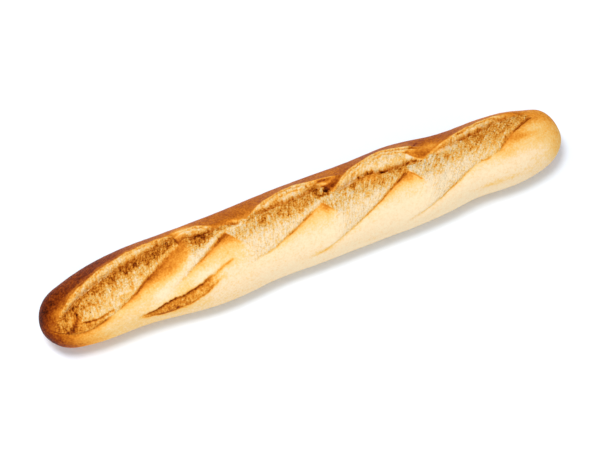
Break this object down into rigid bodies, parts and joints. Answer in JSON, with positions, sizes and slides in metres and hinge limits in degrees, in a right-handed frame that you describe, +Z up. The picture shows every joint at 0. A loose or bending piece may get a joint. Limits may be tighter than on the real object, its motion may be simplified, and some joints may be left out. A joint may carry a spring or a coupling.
{
  "type": "baguette",
  "caption": "Long round-ended loaf of baked bread, flat underneath, with overlapping slanting slashes along the top, each with a lifted ear of crust and a swollen band of torn crumb.",
  "frame": {"origin": "middle of the flat base, under the middle of the loaf", "axes": "+X along the loaf towards its pale rounder end, +Y towards the brown side where the ears lift, +Z up"},
  "size_m": [0.5, 0.0806, 0.0582],
  "materials": {
    "crust": "matt baked crust, cream on one side and brown on the other"
  },
  "bodies": {
    "root": {"loaf": "crust"}
  },
  "joints": []
}
